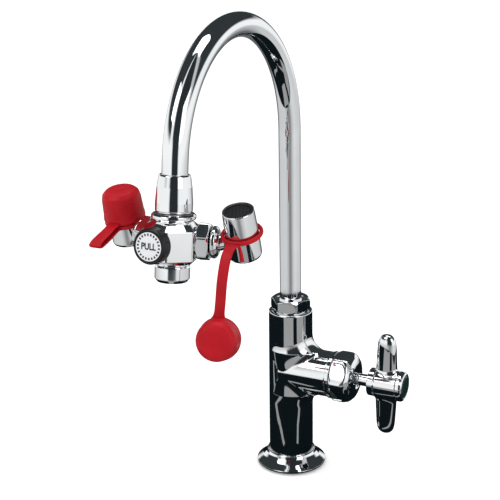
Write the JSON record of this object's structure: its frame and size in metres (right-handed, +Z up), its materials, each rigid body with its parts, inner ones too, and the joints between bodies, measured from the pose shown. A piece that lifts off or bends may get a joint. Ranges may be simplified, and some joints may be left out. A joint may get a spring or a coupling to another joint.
{
  "type": "faucet-mounted eyewash station",
  "caption": "Deck-mounted swivelling gooseneck faucet with a side valve, carrying a twin-head eyewash with a pull knob and tethered dust caps.",
  "frame": {"origin": "centre of the column on the deck, in the plane of the deck gasket's underside", "axes": "+Z up; the spout reaches towards -Y, the user's side; the valve branch and handle point towards +X"},
  "size_m": [0.1558, 0.2487, 0.4343],
  "materials": {
    "chrome": "polished chrome plate",
    "brass": "machined, unplated",
    "steel": "satin stainless",
    "rubber": "matte black",
    "black_plastic": "satin black moulding",
    "label": "printed disc, satin",
    "green_plastic": "dark green, glossy",
    "red_vinyl": "smooth soft vinyl, low sheen"
  },
  "bodies": {
    "faucet": {"deck_gasket": "rubber", "base_flange": "chrome", "mounting_shank": "brass", "deck_washer": "steel", "shank_locknut": "brass", "column_body": "chrome", "swivel_nut": "chrome", "gooseneck_o_ring": "rubber", "valve_seat": "brass", "bonnet": "chrome", "stem_packing": "rubber"},
    "gooseneck": {"gooseneck_tube": "chrome", "outlet_coupling": "chrome", "inlet_collar": "chrome", "inlet_gasket": "rubber", "eyewash_body": "chrome", "outlet_shell": "chrome", "outlet_screen": "black_plastic", "knob_gland": "chrome", "diverter_spring": "steel", "left_union_nut": "chrome", "right_union_nut": "chrome", "left_arm_o_ring": "rubber", "right_arm_o_ring": "rubber"},
    "valve_plunger": {"valve_disc": "brass", "seat_washer": "rubber"},
    "handle": {"valve_stem": "brass", "handle": "chrome", "handle_screw": "steel", "index_button": "green_plastic"},
    "knob": {"pull_knob": "black_plastic", "knob_label": "label", "diverter_stem": "steel", "diverter_seal": "rubber"},
    "left_head": {"left_arm": "chrome", "left_head_body": "chrome", "left_head_shell": "chrome", "left_head_screen": "black_plastic", "left_cap_ring": "red_vinyl"},
    "right_head": {"right_arm": "chrome", "right_head_body": "chrome", "right_head_shell": "chrome", "right_head_screen": "black_plastic", "right_cap_ring": "red_vinyl"},
    "left_cap": {"left_dust_cap": "red_vinyl", "left_cap_strap": "red_vinyl"},
    "right_cap": {"right_dust_cap": "red_vinyl", "right_cap_strap": "red_vinyl"}
  },
  "joints": [
    {"name": "gooseneck_swivel", "type": "hinge", "parent": "faucet", "child": "gooseneck", "pos_m": [0, 0, 0.14], "axis": [0, 0, 1], "continuous": true},
    {"name": "valve_lift", "type": "slide", "parent": "faucet", "child": "valve_plunger", "axis": [1, 0, 0], "range_m": [0, 0.0036]},
    {"name": "handle_turn", "type": "hinge", "parent": "valve_plunger", "child": "handle", "pos_m": [0.0825, 0, 0.084], "axis": [1, 0, 0], "range_deg": [0, 540]},
    {"name": "knob_pull", "type": "slide", "parent": "gooseneck", "child": "knob", "axis": [0, -0.9925, 0.1219], "range_m": [0, 0.008], "stiffness_N_per_m": 200, "springref_m": -0.005, "deforming": ["diverter_spring"]},
    {"name": "left_head_swivel", "type": "hinge", "parent": "gooseneck", "child": "left_head", "pos_m": [0, -0.17952, 0.24138], "axis": [0.9563, -0.2902, 0.0356], "range_deg": [-40, 50]},
    {"name": "right_head_swivel", "type": "hinge", "parent": "gooseneck", "child": "right_head", "pos_m": [0, -0.17952, 0.24138], "axis": [0.9563, 0.2902, -0.0356], "range_deg": [-40, 50]},
    {"name": "left_cap_lift", "type": "slide", "parent": "left_head", "child": "left_cap", "axis": [0, -0.2164, 0.9763], "range_m": [0, 0.03]},
    {"name": "right_cap_swing", "type": "hinge", "parent": "right_head", "child": "right_cap", "pos_m": [0.0435, -0.1828, 0.2425], "axis": [1, 0, 0], "range_deg": [-70, 20], "stiffness_Nm_per_rad": 0.004, "springref_deg": -16.04}
  ],
  "couplings": [
    {"joint": "valve_lift", "follows": "handle_turn", "m_per_rad": 0.000337}
  ]
}
